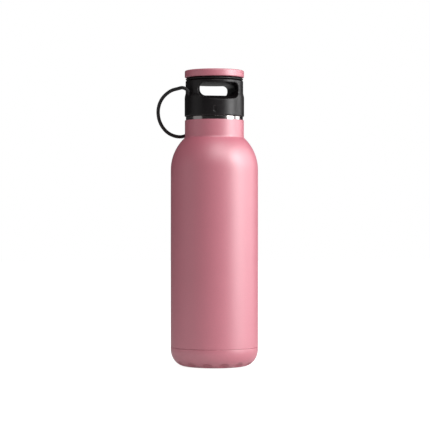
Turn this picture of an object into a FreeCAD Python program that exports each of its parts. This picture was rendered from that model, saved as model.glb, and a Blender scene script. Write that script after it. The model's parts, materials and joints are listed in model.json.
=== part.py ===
"""Vacuum-insulated shaker bottle: steel flask, moulded base cup, screw lid with finger window and cord loop.

Frame: origin at the centre of the base on the standing surface, +Z up the bottle's axis.
The lid's finger window runs along Y, with its front at -Y, and the cord loop is on the -X side.
Millimetres throughout.
"""

import FreeCAD, Part
import math
import os

from FreeCAD import Vector

UP = Vector(0, 0, 1)
ORIGIN = Vector(0, 0, 0)

# Driving dimensions of the flask
BODY_R = 36.5
NECK_R = 24.7
NECK_TOP_Z = 205.2
COLLAR_R = 23.9
MOUTH_Z = 217.5
SHOULDER_START_Z = 163.8
SHOULDER_R = 36.9
SHOULDER_TURN_DEG = 45.5
NECK_FILLET_R = 2.4
SHELL_WALL = 0.45
LINER_WALL = 0.5
VACUUM_GAP = 2.65

# Base cup
CUP_TOP_Z = 15.9
SEAM_GAP = 0.15
CUP_WALL = 1.4
CUP_FIT = 0.1
CONTACT_R = 24.5
CORNER_H = 14.0
UNDERSIDE_R = 19.0
UNDERSIDE_DEPTH = 2.0
DIMPLES = 14
DIMPLE_R = 6.0
DIMPLE_DEPTH = 1.5
DIMPLE_AT_R = 30.0
DIMPLE_EDGE_R = 0.5
FIRST_DIMPLE_DEG = -138.0
STEEL_BOTTOM_Z = 5.0
STEEL_CORNER_R = 7.0
PAD_FLOOR_Z = 3.4
PAD_R = 25.5

# Thread between mouth and lid: three starts
THREAD_LEAD = 15.0
THREAD_STARTS = 3
THREAD_SPAN_DEG = 115.0
THREAD_START_Z = 210.6
THREAD_ROOT_HALF = 1.1
THREAD_TIP_HALF = 0.45
THREAD_BITE = 0.3
NECK_THREAD_TIP_R = 22.7
LID_THREAD_TIP_R = 21.95
LID_THREAD_DROP = 1.6

# Lid
LID_BOTTOM_Z = 208.4
LID_R = 24.9
LID_TOP_R = 24.1
FLARE_LOW_Z = 223.6
FLARE_HIGH_Z = 228.7
LID_TOP_Z = 238.2
LID_BORE_R = 23.9
LID_CEILING_Z = 220.5
LID_RECESS_R = 17.0
LID_RECESS_Z = 222.3
LID_EDGE_R = 0.7
WINDOW_HALF_W = 14.6
WINDOW_LOW_Z = 225.3
WINDOW_HIGH_Z = 235.7
WINDOW_LOW_CORNER_R = 5.1
WINDOW_HIGH_CORNER_R = 4.0
WINDOW_EDGE_R = 0.7
SCOOP_INNER_Y = -11.8
SCOOP_OUTER_Y = -25.0
SCOOP_HALF_W = 21.2
SCOOP_LOW_Z = 221.7
SCOOP_LOW_CORNER_R = 6.9
SCOOP_HIGH_CORNER_R = 6.9
POCKET_INNER_X = 16.4
POCKET_R = 22.7
POCKET_HALF_Y = 11.5
POCKET_FLOOR_Z = 221.3
MARK_AZIMUTH_DEG = -9.7
MARK_Z = 213.8
MARK_FLOOR_R = 24.45
MARK_HALF_W = 0.75
MARK_HALF_H = 2.2
MARK_OUT = 0.8
MARK_SPREAD = 1.15

# Threaded liner of the lid, its plug and the seal
LINER_OUT_R = 23.85
LINER_IN_R = 23.0
LINER_LOW_Z = 209.0
LINER_CEILING_Z = 219.3
LINER_TOP_Z = 220.4
PLUG_R = 19.1
PLUG_WALL = 1.2
PLUG_BOTTOM_Z = 210.4
GASKET_IN_R = 19.4
GASKET_OUT_R = 22.6

# Mixing grid clipped on the plug
GRID_RIM_IN_R = 19.18
GRID_RIM_OUT_R = 20.4
GRID_LOW_Z = 207.0
GRID_RIM_TOP_Z = 214.0
GRID_BAR_H = 2.0
GRID_BAR_W = 1.3
GRID_BAR_STEP = 4.7

# Carrier plate and disc on top of the lid
CARRIER_NECK_R = 23.2
CARRIER_LIP_R = 24.0
CARRIER_LIP_LOW_Z = 239.0
CARRIER_LIP_HIGH_Z = 239.9
CARRIER_BOSS_R = 21.5
CARRIER_BOSS_Z = 243.9
TONGUE_LOW_Z = 234.4
TONGUE_FIT = 0.15
DISC_R = 24.8
DISC_LOW_Z = 240.9
DISC_TOP_Z = 246.8
DISC_ROOF = 2.0
DISC_TOP_EDGE_R = 1.1
DISC_LOW_EDGE_R = 0.8
TAPE_IN_R = 8.0
TAPE_OUT_R = 20.0

# Cord loop: diameter, ports in the lid's -X pillar, and the route between them
CORD_R = 1.5
CORD_PORT_R = 1.75
STOP_R = 1.8
STOP_HALF = 1.3
FRONT_PORT = Vector(-22.7, -8.2, 226.3)
FRONT_PORT_OUT = Vector(-0.27, -0.864, 0.42)
FRONT_STOP_IN = 7.1
BACK_PORT = Vector(-19.2, 14.5, 226.5)
BACK_PORT_OUT = Vector(-0.1, 0.8, -0.6)
BACK_STOP_IN = 7.9


def corner(turn_from, vertex, turn_to, radius):
    """Start, middle and end of the arc that rounds one corner of an outline."""
    back = (turn_from - vertex).normalize()
    ahead = (turn_to - vertex).normalize()
    half = back.getAngle(ahead) / 2
    reach = radius / math.tan(half)
    bisector = (back + ahead).normalize()
    centre = vertex + bisector * (radius / math.sin(half))
    return vertex + back * reach, centre - bisector * radius, vertex + ahead * reach


def outline(points):
    """Closed wire in the XZ plane through (r, z, corner radius) points; a radius of 0 leaves it sharp."""
    vertices = [Vector(p[0], 0, p[1]) for p in points]
    edges = []
    place = None
    first = None
    for i, point in enumerate(points):
        if point[2] > 0:
            begin, middle, end = corner(
                vertices[i - 1], vertices[i], vertices[(i + 1) % len(points)], point[2]
            )
        else:
            begin = middle = end = vertices[i]
        if place is not None and place.distanceToPoint(begin) > 1e-6:
            edges.append(Part.makeLine(place, begin))
        if point[2] > 0:
            edges.append(Part.Arc(begin, middle, end).toShape())
        first = first or begin
        place = end
    if place.distanceToPoint(first) > 1e-6:
        edges.append(Part.makeLine(place, first))
    return Part.Wire(edges)


def turned(points):
    """Solid of revolution about Z from an outline."""
    return Part.Face(outline(points)).revolve(ORIGIN, UP, 360)


def cylinder(radius, low, high):
    return Part.makeCylinder(radius, high - low, Vector(0, 0, low))


def one_solid(shape):
    """The single cleaned solid of a shape."""
    cleaned = shape.removeSplitter()
    assert len(cleaned.Solids) == 1, f"{len(cleaned.Solids)} solids where one was meant"
    return cleaned.Solids[0]


# ---- flask ----


def flask_outline(inset, neck_top, low, low_points):
    """Outline from the axis out to the flask's wall, set inwards by inset; low_points close it below."""
    half_turn = math.tan(math.radians(SHOULDER_TURN_DEG) / 2)
    slope = math.tan(math.radians(SHOULDER_TURN_DEG))
    body_z = SHOULDER_START_Z + SHOULDER_R * half_turn
    neck_z = body_z + (BODY_R - NECK_R) / slope
    drop = inset * half_turn
    return [
        (0, neck_top, 0),
        (NECK_R - inset, neck_top, 0),
        (NECK_R - inset, neck_z - drop, NECK_FILLET_R + inset),
        (BODY_R - inset, body_z - drop, SHOULDER_R - inset),
        (BODY_R - inset, low, 0),
        *low_points,
    ]


def outer_shell():
    """Outer wall: neck flange, neck, shoulder, body, and the step that the base cup covers."""
    step_r = BODY_R - CUP_WALL - CUP_FIT
    seam_z = CUP_TOP_Z + SEAM_GAP
    open_r = step_r - STEEL_CORNER_R
    outside = turned(
        flask_outline(0, NECK_TOP_Z, seam_z, [(step_r, seam_z, 0), (step_r, STEEL_BOTTOM_Z, STEEL_CORNER_R),
                                              (0, STEEL_BOTTOM_Z, 0)])
    )
    inner_step_r = step_r - SHELL_WALL
    inside = turned(
        flask_outline(SHELL_WALL, NECK_TOP_Z - SHELL_WALL, seam_z + SHELL_WALL,
                      [(inner_step_r, seam_z + SHELL_WALL, 0),
                       (inner_step_r, STEEL_BOTTOM_Z + SHELL_WALL, STEEL_CORNER_R - SHELL_WALL),
                       (0, STEEL_BOTTOM_Z + SHELL_WALL, 0)])
    )
    shell = outside.cut(inside)
    shell = shell.cut(cylinder(open_r, 0, STEEL_BOTTOM_Z + 2 * SHELL_WALL))
    liner_r = NECK_R - SHELL_WALL - VACUUM_GAP
    shell = shell.cut(cylinder(liner_r, NECK_TOP_Z - 2 * SHELL_WALL, NECK_TOP_Z + SHELL_WALL))
    seam_edge = [e for e in shell.Edges if on_circle(e, BODY_R, seam_z) or on_circle(e, NECK_R, NECK_TOP_Z)]
    return one_solid(shell.makeFillet(SEAM_GAP, seam_edge))


def on_circle(edge, radius, z):
    """Whether an edge is the circle of that radius about the axis at that height."""
    curve = edge.Curve
    return (
        isinstance(curve, Part.Circle)
        and abs(curve.Radius - radius) < 1e-3
        and abs(curve.Center.z - z) < 1e-3
        and math.hypot(curve.Center.x, curve.Center.y) < 1e-3
    )


def outer_bottom():
    """Dished steel disc welded into the outer wall, with a raised seat for the vacuum seal."""
    open_r = BODY_R - CUP_WALL - CUP_FIT - STEEL_CORNER_R
    low = STEEL_BOTTOM_Z
    high = low + SHELL_WALL
    seat_r = 6.0
    seat_rise = 1.2
    return turned([
        (0, low + seat_rise, 0),
        (seat_r, low + seat_rise, 0.5),
        (seat_r + seat_rise, low, 1.0),
        (open_r, low, 0),
        (open_r, high, 0),
        (seat_r + seat_rise, high, 0.5),
        (seat_r, high + seat_rise, 1.0),
        (0, high + seat_rise, 0),
    ])


def helical_ridge(root_r, tip_r, start_z, start_deg):
    """One thread ridge of trapezoid section, right-handed, rising from start_z."""
    rise = THREAD_LEAD * THREAD_SPAN_DEG / 360
    helix = Part.makeHelix(THREAD_LEAD, rise, root_r)
    section = Part.makePolygon([
        Vector(root_r, 0, -THREAD_ROOT_HALF),
        Vector(tip_r, 0, -THREAD_TIP_HALF),
        Vector(tip_r, 0, THREAD_TIP_HALF),
        Vector(root_r, 0, THREAD_ROOT_HALF),
        Vector(root_r, 0, -THREAD_ROOT_HALF),
    ])
    ridge = Part.Wire(helix).makePipeShell([section], True, True)
    ridge.rotate(ORIGIN, UP, start_deg)
    ridge.translate(Vector(0, 0, start_z))
    return ridge


def threaded(wall, root_r, tip_r, first_deg):
    """The wall with its thread ridges, which bite a little into it."""
    bite = THREAD_BITE if tip_r < root_r else -THREAD_BITE
    for start in range(THREAD_STARTS):
        angle = first_deg + 360 * start / THREAD_STARTS
        wall = wall.fuse(helical_ridge(root_r + bite, tip_r, THREAD_START_Z, angle))
    return one_solid(wall)


def liner_inset():
    return SHELL_WALL + VACUUM_GAP


def inner_liner():
    """Inner wall from the weld above its bottom to the mouth, with a rounded lip and the thread."""
    low = 16.0
    inset = liner_inset()
    outside = turned(flask_outline(inset, MOUTH_Z, low, [(0, low, 0)]))
    inside = turned(flask_outline(inset + LINER_WALL, MOUTH_Z, low, [(0, low, 0)]))
    wall = outside.cut(inside)
    lip = [e for e in wall.Edges
           if on_circle(e, NECK_R - inset, MOUTH_Z) or on_circle(e, NECK_R - inset - LINER_WALL, MOUTH_Z)]
    wall = wall.makeFillet(0.2, lip)
    return threaded(wall, NECK_R - inset, NECK_THREAD_TIP_R, 0)


def liner_bottom():
    """Dished bottom of the inner wall, welded to it edge to edge."""
    top = 16.0
    low = 8.6
    out_r = BODY_R - liner_inset()
    in_r = out_r - LINER_WALL
    corner_r = 6.0
    return turned([
        (0, low, 0),
        (out_r, low, corner_r),
        (out_r, top, 0),
        (in_r, top, 0),
        (in_r, low + LINER_WALL, corner_r - LINER_WALL),
        (0, low + LINER_WALL, 0),
    ])


def neck_collar():
    """Bare steel ring between the painted neck and the lid."""
    liner_r = NECK_R - liner_inset()
    return turned([
        (liner_r, NECK_TOP_Z, 0),
        (COLLAR_R, NECK_TOP_Z, 0.15),
        (COLLAR_R, LID_BOTTOM_Z - 0.2, 0.35),
        (liner_r, LID_BOTTOM_Z - 0.2, 0),
    ])


def getter():
    """Getter pellet, fixed beside the seat on the outer bottom."""
    radius = 4.5
    high = 1.4
    seat = STEEL_BOTTOM_Z + SHELL_WALL
    pellet = Part.makeCylinder(radius, high, Vector(14, 0, seat))
    return pellet.makeFillet(0.3, [e for e in pellet.Edges if e.CenterOfMass.z > seat + high - 0.01])


def vacuum_seal():
    """Cover of the evacuation hole, in the raised seat under the outer bottom."""
    seat = STEEL_BOTTOM_Z + 1.2
    disc = cylinder(4.0, seat - 0.9, seat)
    return disc.makeFillet(0.3, [e for e in disc.Edges if on_circle(e, 4.0, seat - 0.9)])


# ---- base cup ----


def dimple_ball():
    """Ball that cuts one dimple on the +X side, its centre off the surface along its normal."""
    across = DIMPLE_AT_R - CONTACT_R
    wide = BODY_R - CONTACT_R
    lift = CORNER_H * (1 - math.sqrt(1 - (across / wide) ** 2))
    normal = Vector(across / wide**2, 0, (lift - CORNER_H) / CORNER_H**2).normalize()
    centre = Vector(DIMPLE_AT_R, 0, lift) + normal * (DIMPLE_R - DIMPLE_DEPTH)
    return Part.makeSphere(DIMPLE_R, centre)


def base_cup():
    """Moulded cup: straight wall, elliptical corner, dimples round the rim and a recess underneath."""
    foot = Vector(CONTACT_R, 0, 0)
    side = Vector(BODY_R, 0, CORNER_H)
    ellipse = Part.Ellipse(foot, side, Vector(CONTACT_R, 0, CORNER_H))
    ends = sorted([ellipse.parameter(foot), ellipse.parameter(side)])
    if ends[1] - ends[0] > math.pi:
        ends = [ends[1], ends[0] + 2 * math.pi]
    quarter = ellipse.toShape(*ends)
    edge_r = 0.3
    inner_r = BODY_R - CUP_WALL
    start = Vector(BODY_R, 0, CUP_TOP_Z - edge_r)
    bevel = edge_r * (1 - math.sqrt(0.5))
    middle = Vector(BODY_R - bevel, 0, CUP_TOP_Z - bevel)
    rounded = Part.Arc(start, middle, Vector(BODY_R - edge_r, 0, CUP_TOP_Z)).toShape()
    edges = [quarter, Part.makeLine(side, start), rounded]
    path = [
        Vector(BODY_R - edge_r, 0, CUP_TOP_Z),
        Vector(0, 0, CUP_TOP_Z),
        Vector(0, 0, 0),
        foot,
    ]
    edges += [Part.makeLine(a, b) for a, b in zip(path, path[1:])]
    solid = Part.Face(Part.Wire(Part.sortEdges(edges)[0])).revolve(ORIGIN, UP, 360)
    underside = turned([
        (0, 0, 0),
        (UNDERSIDE_R, 0, 0),
        (UNDERSIDE_R - 1.0, UNDERSIDE_DEPTH, 1.0),
        (0, UNDERSIDE_DEPTH, 0),
    ])
    inside = turned([
        (0, PAD_FLOOR_Z, 0),
        (PAD_R + CUP_FIT, PAD_FLOOR_Z, 0),
        (PAD_R + CUP_FIT, STEEL_BOTTOM_Z - CUP_FIT, 0),
        (inner_r, STEEL_BOTTOM_Z - CUP_FIT, STEEL_CORNER_R + CUP_FIT),
        (inner_r, CUP_TOP_Z, 0),
        (0, CUP_TOP_Z, 0),
    ])
    solid = solid.cut(inside).cut(underside)
    balls = []
    for i in range(DIMPLES):
        ball = dimple_ball()
        ball.rotate(ORIGIN, UP, 360 * (i + 0.5) / DIMPLES)
        balls.append(ball)
    solid = one_solid(solid.cut(balls))
    rims = []
    for edge in solid.Edges:
        middle = edge.valueAt((edge.FirstParameter + edge.LastParameter) / 2)
        if any(abs(middle.distanceToPoint(b.CenterOfMass) - DIMPLE_R) < 1e-3 for b in balls):
            rims.append(edge)
    solid = one_solid(solid.makeFillet(DIMPLE_EDGE_R, rims))
    solid.rotate(ORIGIN, UP, FIRST_DIMPLE_DEG - 180 / DIMPLES)
    return solid


def base_pad():
    """Bonding pad between the base cup and the steel bottom, with a hole round the vacuum seal."""
    seal_room_r = 7.5
    return turned([
        (seal_room_r, PAD_FLOOR_Z, 0),
        (PAD_R, PAD_FLOOR_Z, 0.4),
        (PAD_R, STEEL_BOTTOM_Z, 0.4),
        (seal_room_r, STEEL_BOTTOM_Z, 0),
    ])


# ---- lid ----


def slot_wire(half_w, low, low_corner, high_corner, y):
    """Outline across Y of the finger window: round lower corners and tighter upper ones."""
    high = WINDOW_HIGH_Z
    low_cut = low_corner * (1 - math.sqrt(0.5))
    high_cut = high_corner * (1 - math.sqrt(0.5))
    edges = []
    for side in (1, -1):
        foot = Vector(side * (half_w - low_corner), y, low)
        low_mid = Vector(side * (half_w - low_cut), y, low + low_cut)
        side_low = Vector(side * half_w, y, low + low_corner)
        side_high = Vector(side * half_w, y, high - high_corner)
        high_mid = Vector(side * (half_w - high_cut), y, high - high_cut)
        head = Vector(side * (half_w - high_corner), y, high)
        run = [
            Part.Arc(foot, low_mid, side_low).toShape(),
            Part.makeLine(side_low, side_high),
            Part.Arc(side_high, high_mid, head).toShape(),
        ]
        edges.append(run)
    right, left = edges
    right_head = Vector(half_w - high_corner, y, high)
    left_head = Vector(high_corner - half_w, y, high)
    left_foot = Vector(low_corner - half_w, y, low)
    right_foot = Vector(half_w - low_corner, y, low)
    across = [Part.makeLine(right_head, left_head), Part.makeLine(left_foot, right_foot)]
    return Part.Wire(Part.sortEdges(right + left + across)[0])


def window_cut():
    """The finger window: a straight slot through the lid, widening to a scoop at the front."""
    throat = slot_wire(WINDOW_HALF_W, WINDOW_LOW_Z, WINDOW_LOW_CORNER_R, WINDOW_HIGH_CORNER_R, SCOOP_INNER_Y)
    mouth = slot_wire(SCOOP_HALF_W, SCOOP_LOW_Z, SCOOP_LOW_CORNER_R, SCOOP_HIGH_CORNER_R, SCOOP_OUTER_Y)
    slot = Part.Face(throat).extrude(Vector(0, 30 - SCOOP_INNER_Y, 0))
    scoop = Part.makeLoft([mouth, throat], True, True)
    return slot.fuse(scoop)


def pocket(side, low, high, fit):
    """Room inside one pillar, side -1 or +1 along X, shrunk by fit on its walls."""
    block_w = POCKET_R - POCKET_INNER_X
    block = Part.makeBox(
        block_w,
        2 * (POCKET_HALF_Y - fit),
        high - low,
        Vector(POCKET_INNER_X + fit, -POCKET_HALF_Y + fit, low),
    )
    room = block.common(cylinder(POCKET_R - fit, low, high))
    room = room.makeFillet(0.8, [e for e in room.Edges if abs(e.tangentAt(e.FirstParameter).z) > 0.99])
    if side < 0:
        room = room.mirror(ORIGIN, Vector(1, 0, 0))
    return room


def port_hole(port, outward):
    """Cord hole through the pillar wall, from the pocket to the open air."""
    direction = Vector(outward).normalize()
    return Part.makeCylinder(CORD_PORT_R, 14, port - direction * 5, direction)


def lid_blank():
    """Outside of the lid: straight skirt, a slight flare, and the narrower top."""
    step = LID_R - LID_TOP_R
    rise = FLARE_HIGH_Z - FLARE_LOW_Z
    flare_r = (rise**2 + step**2) / (4 * step)
    middle = Vector((LID_R + LID_TOP_R) / 2, 0, (FLARE_LOW_Z + FLARE_HIGH_Z) / 2)
    low = Vector(LID_R, 0, FLARE_LOW_Z)
    high = Vector(LID_TOP_R, 0, FLARE_HIGH_Z)
    half = math.atan2(step, rise)
    low_mid = Vector(LID_R - flare_r * (1 - math.cos(half)), 0, FLARE_LOW_Z + flare_r * math.sin(half))
    high_mid = Vector(LID_TOP_R + flare_r * (1 - math.cos(half)), 0, FLARE_HIGH_Z - flare_r * math.sin(half))
    edges = [
        Part.makeLine(Vector(0, 0, LID_BOTTOM_Z), Vector(LID_R, 0, LID_BOTTOM_Z)),
        Part.makeLine(Vector(LID_R, 0, LID_BOTTOM_Z), low),
        Part.Arc(low, low_mid, middle).toShape(),
        Part.Arc(middle, high_mid, high).toShape(),
        Part.makeLine(high, Vector(LID_TOP_R, 0, LID_TOP_Z)),
        Part.makeLine(Vector(LID_TOP_R, 0, LID_TOP_Z), Vector(0, 0, LID_TOP_Z)),
        Part.makeLine(Vector(0, 0, LID_TOP_Z), Vector(0, 0, LID_BOTTOM_Z)),
    ]
    return Part.Face(Part.Wire(edges)).revolve(ORIGIN, UP, 360)


def window_rims(solid):
    """Edges where the finger window breaks out through the lid's outside."""
    flare_mid_z = (FLARE_LOW_Z + FLARE_HIGH_Z) / 2
    found = []
    for edge in solid.Edges:
        first = edge.valueAt(edge.FirstParameter)
        point = edge.valueAt((edge.FirstParameter + edge.LastParameter) / 2)
        outside = math.hypot(point.x, point.y) > LID_TOP_R - 0.05
        beside = SCOOP_LOW_Z - 0.5 < point.z < WINDOW_HIGH_Z + 0.05
        level = abs(first.z - point.z) < 1e-4
        flare_ring = level and min(abs(point.z - z) for z in (FLARE_LOW_Z, flare_mid_z, FLARE_HIGH_Z)) < 1e-3
        seam = abs(point.y) < 1e-3
        if outside and beside and not flare_ring and not seam:
            found.append(edge)
    return found


def lid_body():
    """Black cap: skirt, finger window scooped at the front, pillar pockets, cord ports and an index mark."""
    solid = lid_blank()
    solid = solid.cut(window_cut())
    solid = solid.makeFillet(WINDOW_EDGE_R, window_rims(solid))
    ends = [e for e in solid.Edges if on_circle(e, LID_R, LID_BOTTOM_Z) or on_circle(e, LID_TOP_R, LID_TOP_Z)]
    solid = solid.makeFillet(LID_EDGE_R, ends)
    solid = solid.cut(cylinder(LID_BORE_R, LID_BOTTOM_Z, LID_CEILING_Z))
    solid = solid.cut(cylinder(LID_RECESS_R, LID_CEILING_Z, LID_RECESS_Z))
    for side in (-1, 1):
        solid = solid.cut(pocket(side, POCKET_FLOOR_Z, LID_TOP_Z + 1, 0))
    solid = solid.cut(port_hole(FRONT_PORT, FRONT_PORT_OUT))
    solid = solid.cut(port_hole(BACK_PORT, BACK_PORT_OUT))
    return one_solid(solid.cut(index_mark()))


def mark_wire(grow, y):
    """Upright round-ended outline across Y, grown on all sides."""
    half_w = MARK_HALF_W + grow
    flat = MARK_HALF_H - MARK_HALF_W
    edges = [
        Part.makeLine(Vector(-half_w, y, -flat), Vector(-half_w, y, flat)),
        Part.Arc(Vector(-half_w, y, flat), Vector(0, y, flat + half_w), Vector(half_w, y, flat)).toShape(),
        Part.makeLine(Vector(half_w, y, flat), Vector(half_w, y, -flat)),
        Part.Arc(Vector(half_w, y, -flat), Vector(0, y, -flat - half_w), Vector(-half_w, y, -flat)).toShape(),
    ]
    return Part.Wire(edges)


def index_mark():
    """Shallow sloping dent in the skirt that shows how far the lid is turned."""
    wide = mark_wire(MARK_SPREAD, -MARK_FLOOR_R - MARK_OUT)
    narrow = mark_wire(0, -MARK_FLOOR_R)
    dent = Part.makeLoft([wide, narrow], True, True)
    dent.translate(Vector(0, 0, MARK_Z))
    dent.rotate(ORIGIN, UP, MARK_AZIMUTH_DEG)
    return dent


def lid_liner():
    """Threaded inner cup of the lid, with a plug that is open above for the foam."""
    wall = turned([
        (0, PLUG_BOTTOM_Z, 0),
        (PLUG_R, PLUG_BOTTOM_Z, 1.0),
        (PLUG_R, LINER_CEILING_Z, 0),
        (LINER_IN_R, LINER_CEILING_Z, 0),
        (LINER_IN_R, LINER_LOW_Z, 0.2),
        (LINER_OUT_R, LINER_LOW_Z, 0.2),
        (LINER_OUT_R, LINER_TOP_Z, 0),
        (PLUG_R - PLUG_WALL, LINER_TOP_Z, 0),
        (PLUG_R - PLUG_WALL, PLUG_BOTTOM_Z + PLUG_WALL, 0.5),
        (0, PLUG_BOTTOM_Z + PLUG_WALL, 0),
    ])
    drop_deg = 360 * LID_THREAD_DROP / THREAD_LEAD
    return threaded(wall, LINER_IN_R, LID_THREAD_TIP_R, drop_deg)


def lid_foam():
    """Insulating foam in the plug, up into the lid's recess."""
    play = 0.15
    return turned([
        (0, PLUG_BOTTOM_Z + PLUG_WALL, 0),
        (PLUG_R - PLUG_WALL - play, PLUG_BOTTOM_Z + PLUG_WALL, 0.7),
        (PLUG_R - PLUG_WALL - play, LINER_TOP_Z, 0),
        (LID_RECESS_R - play, LINER_TOP_Z, 0),
        (LID_RECESS_R - play, LID_RECESS_Z - play, 0.5),
        (0, LID_RECESS_Z - play, 0),
    ])


def lid_gasket():
    """Silicone ring between the mouth's lip and the liner's ceiling."""
    return turned([
        (GASKET_IN_R, MOUTH_Z, 0.3),
        (GASKET_OUT_R, MOUTH_Z, 0.3),
        (GASKET_OUT_R, LINER_CEILING_Z, 0.3),
        (GASKET_IN_R, LINER_CEILING_Z, 0.3),
    ])


def mixer_grid():
    """Ring that snaps on the plug, with a square grid of bars across its lower end."""
    rim = turned([
        (GRID_RIM_IN_R, GRID_LOW_Z, 0.3),
        (GRID_RIM_OUT_R, GRID_LOW_Z, 0.5),
        (GRID_RIM_OUT_R, GRID_RIM_TOP_Z, 0.4),
        (GRID_RIM_IN_R, GRID_RIM_TOP_Z, 0.3),
    ])
    reach = GRID_RIM_IN_R + 0.5
    bars = []
    count = int(reach // GRID_BAR_STEP)
    for i in range(-count, count + 1):
        offset = i * GRID_BAR_STEP
        half = math.sqrt(reach**2 - (abs(offset) + GRID_BAR_W / 2) ** 2)
        edge = offset - GRID_BAR_W / 2
        along_x = Part.makeBox(2 * half, GRID_BAR_W, GRID_BAR_H, Vector(-half, edge, GRID_LOW_Z))
        along_y = Part.makeBox(GRID_BAR_W, 2 * half, GRID_BAR_H, Vector(edge, -half, GRID_LOW_Z))
        bars += [along_x, along_y]
    lifted = 0.3
    for bar in bars:
        bar.translate(Vector(0, 0, lifted))
    return one_solid(rim.fuse(bars))


def disc_carrier():
    """Black plate under the disc: grooved edge, boss for the disc, and tongues in the pillar pockets."""
    plate = turned([
        (0, LID_TOP_Z, 0),
        (CARRIER_NECK_R, LID_TOP_Z, 0),
        (CARRIER_NECK_R, CARRIER_LIP_LOW_Z, 0),
        (CARRIER_LIP_R, CARRIER_LIP_LOW_Z, 0.3),
        (CARRIER_LIP_R, CARRIER_LIP_HIGH_Z, 0.3),
        (CARRIER_NECK_R, CARRIER_LIP_HIGH_Z, 0),
        (CARRIER_NECK_R, DISC_LOW_Z, 0),
        (CARRIER_BOSS_R, DISC_LOW_Z, 0),
        (CARRIER_BOSS_R, CARRIER_BOSS_Z, 0.5),
        (0, CARRIER_BOSS_Z, 0),
    ])
    for side in (-1, 1):
        plate = plate.fuse(pocket(side, TONGUE_LOW_Z, LID_TOP_Z, TONGUE_FIT))
    return one_solid(plate)


def top_disc():
    """Coloured disc that caps the lid, hollow underneath."""
    return turned([
        (0, DISC_TOP_Z - DISC_ROOF, 0),
        (CARRIER_BOSS_R + CUP_FIT, DISC_TOP_Z - DISC_ROOF, 0),
        (CARRIER_BOSS_R + CUP_FIT, DISC_LOW_Z, 0),
        (DISC_R, DISC_LOW_Z, DISC_LOW_EDGE_R),
        (DISC_R, DISC_TOP_Z, DISC_TOP_EDGE_R),
        (0, DISC_TOP_Z, 0),
    ])


def disc_tape():
    """Bonding ring that holds the disc on the carrier's boss."""
    return turned([
        (TAPE_IN_R, CARRIER_BOSS_Z, 0),
        (TAPE_OUT_R, CARRIER_BOSS_Z, 0.2),
        (TAPE_OUT_R, DISC_TOP_Z - DISC_ROOF, 0.2),
        (TAPE_IN_R, DISC_TOP_Z - DISC_ROOF, 0),
    ])


# ---- cord loop ----


def cord_stop(port, outward, depth):
    """Barrel-shaped crimp on the cord's end, inside the pocket."""
    direction = Vector(outward).normalize()
    centre = port - direction * depth
    barrel = Part.makeCylinder(STOP_R + 1, 2 * STOP_HALF, centre - direction * STOP_HALF, direction)
    return barrel.common(Part.makeSphere(STOP_R, centre))


def cord_end(port, outward, depth):
    """Where the cord's end meets its stop."""
    return port - Vector(outward).normalize() * (depth - STOP_HALF)


def cord_route():
    """The cord's route: out of the front port, round the loop, and up behind the neck to the back port."""
    loop = [
        Vector(-23.3, -10.3, 227.3),
        Vector(-24.9, -11.1, 229.6),
        Vector(-27.2, -10.5, 231.2),
        Vector(-29.5, -8.9, 231.7),
        Vector(-31.5, -5.4, 231.1),
        Vector(-37.4, -0.6, 229.8),
        Vector(-44.0, 4.9, 223.6),
        Vector(-46.6, 10.1, 214.3),
        Vector(-44.4, 14.3, 204.0),
        Vector(-37.9, 17.8, 195.9),
        Vector(-29.9, 20.3, 192.4),
        Vector(-22.4, 22.1, 192.3),
        Vector(-16.7, 23.3, 195.8),
        Vector(-13.7, 24.0, 203.2),
        Vector(-12.9, 24.1, 211.5),
        Vector(-14.4, 22.4, 219.0),
        Vector(-19.5, 16.9, 224.7),
    ]
    start = cord_end(FRONT_PORT, FRONT_PORT_OUT, FRONT_STOP_IN)
    end = cord_end(BACK_PORT, BACK_PORT_OUT, BACK_STOP_IN)
    return [start, *loop, end]


def carry_cord():
    """The cord as a plain tube along straight runs joined by tangent arcs."""
    route = cord_route()
    edges = []
    place = route[0]
    radii = []
    for i in range(1, len(route) - 1):
        back = route[i - 1] - route[i]
        ahead = route[i + 1] - route[i]
        interior = back.getAngle(ahead)
        half_turn = (math.pi - interior) / 2
        radius = 0.45 * min(back.Length, ahead.Length) / math.tan(half_turn)
        radii.append(round(radius, 1))
        begin, middle, end = corner(route[i - 1], route[i], route[i + 1], radius)
        edges.append(Part.makeLine(place, begin))
        edges.append(Part.Arc(begin, middle, end).toShape())
        place = end
    edges.append(Part.makeLine(place, route[-1]))
    path = Part.Wire(edges)
    direction = (route[1] - route[0]).normalize()
    section = Part.Wire(Part.makeCircle(CORD_R, route[0], direction))
    tube = path.makePipeShell([section], True, False)
    ideal = math.pi * CORD_R**2 * path.Length
    print("cord bend radii", radii)
    print("cord length", round(path.Length, 2), "volume share", round(tube.Volume / ideal, 4))
    return tube


PARTS = {
    "outer_shell": outer_shell,
    "outer_bottom": outer_bottom,
    "inner_liner": inner_liner,
    "liner_bottom": liner_bottom,
    "neck_collar": neck_collar,
    "getter": getter,
    "vacuum_seal": vacuum_seal,
    "base_cup": base_cup,
    "base_pad": base_pad,
    "lid_body": lid_body,
    "lid_liner": lid_liner,
    "lid_foam": lid_foam,
    "lid_gasket": lid_gasket,
    "mixer_grid": mixer_grid,
    "disc_carrier": disc_carrier,
    "top_disc": top_disc,
    "disc_tape": disc_tape,
    "cord_stop_front": lambda: cord_stop(FRONT_PORT, FRONT_PORT_OUT, FRONT_STOP_IN),
    "cord_stop_back": lambda: cord_stop(BACK_PORT, BACK_PORT_OUT, BACK_STOP_IN),
    "carry_cord": carry_cord,
}


def main():
    os.makedirs("parts", exist_ok=True)
    for name, make in PARTS.items():
        shape = make()
        solids = shape.Solids
        print(name, "solids", len(solids), "valid", shape.isValid(), "volume", round(shape.Volume, 1))
        solids[0].exportStep(f"parts/{name}.step")


main()
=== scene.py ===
import json
import math

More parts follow.
